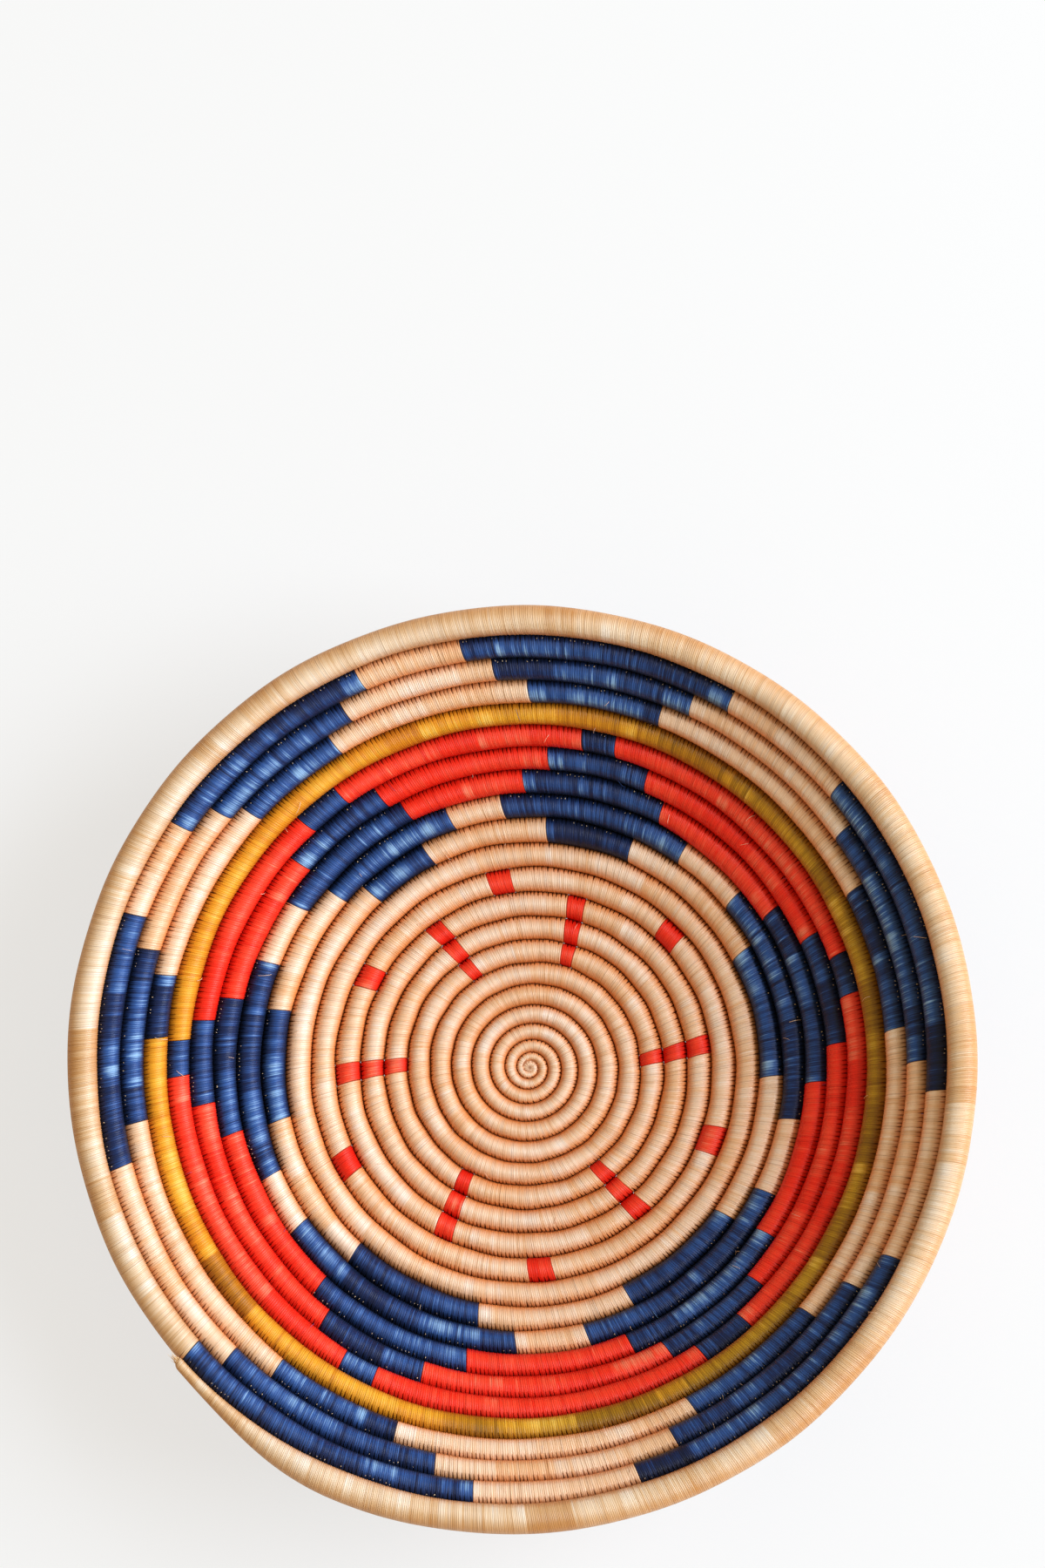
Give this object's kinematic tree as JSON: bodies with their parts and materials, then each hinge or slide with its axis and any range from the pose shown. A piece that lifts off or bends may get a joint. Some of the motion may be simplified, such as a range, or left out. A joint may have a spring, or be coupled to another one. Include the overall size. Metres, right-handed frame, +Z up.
{
  "type": "coiled bowl basket",
  "caption": "Shallow round bowl basket of coiled grass wrapped in dyed sisal, with stepped motifs, a gold turn and a thicker rim. For fruit, bread or the wall.",
  "frame": {"origin": "on the floor under the middle of the bowl, where the coil starts", "axes": "+Z up out of the bowl, +X to the right and +Y away as the pattern is seen from above"},
  "size_m": [0.3028, 0.3063, 0.0693],
  "materials": {
    "natural_sisal": "undyed pale sisal strands, wound side by side, dull sheen",
    "navy_sisal": "dark blue dyed sisal strands with lighter streaks, low sheen",
    "red_sisal": "coral red dyed sisal strands, low sheen",
    "gold_sisal": "mustard dyed sisal strands that turn olive in places, low sheen",
    "bare_grass": "dry grass stalks, matt"
  },
  "bodies": {
    "root": {"gold_turn": "gold_sisal", "grass_rope": "bare_grass", "natural_centre": "natural_sisal", "natural_ground_1": "natural_sisal", "natural_ground_2": "natural_sisal", "natural_ground_3": "natural_sisal", "natural_ground_4": "natural_sisal", "natural_ground_5": "natural_sisal", "natural_ground_6": "natural_sisal", "natural_inner_field_1": "natural_sisal", "natural_inner_field_2": "natural_sisal", "natural_inner_field_3": "natural_sisal", "natural_inner_field_4": "natural_sisal", "natural_inner_field_5": "natural_sisal", "natural_inner_field_6": "natural_sisal", "natural_outer_field_1": "natural_sisal", "natural_outer_field_2": "natural_sisal", "natural_outer_field_3": "natural_sisal", "natural_outer_field_4": "natural_sisal", "natural_outer_field_5": "natural_sisal", "natural_outer_field_6": "natural_sisal", "natural_turn": "natural_sisal", "navy_inner_motif_1": "navy_sisal", "navy_inner_motif_2": "navy_sisal", "navy_inner_motif_3": "navy_sisal", "navy_inner_motif_4": "navy_sisal", "navy_inner_motif_5": "navy_sisal", "navy_inner_motif_6": "navy_sisal", "navy_outer_motif_1": "navy_sisal", "navy_outer_motif_2": "navy_sisal", "navy_outer_motif_3": "navy_sisal", "navy_outer_motif_4": "navy_sisal", "navy_outer_motif_5": "navy_sisal", "navy_outer_motif_6": "navy_sisal", "red_bar_1": "red_sisal", "red_bar_2": "red_sisal", "red_bar_3": "red_sisal", "red_bar_4": "red_sisal", "red_bar_5": "red_sisal", "red_bar_6": "red_sisal", "red_field_1": "red_sisal", "red_field_2": "red_sisal", "red_field_3": "red_sisal", "red_field_4": "red_sisal", "red_field_5": "red_sisal", "red_field_6": "red_sisal", "red_square_1": "red_sisal", "red_square_2": "red_sisal", "red_square_3": "red_sisal", "red_square_4": "red_sisal", "red_square_5": "red_sisal", "red_square_6": "red_sisal", "rim_coil": "natural_sisal"}
  },
  "joints": []
}
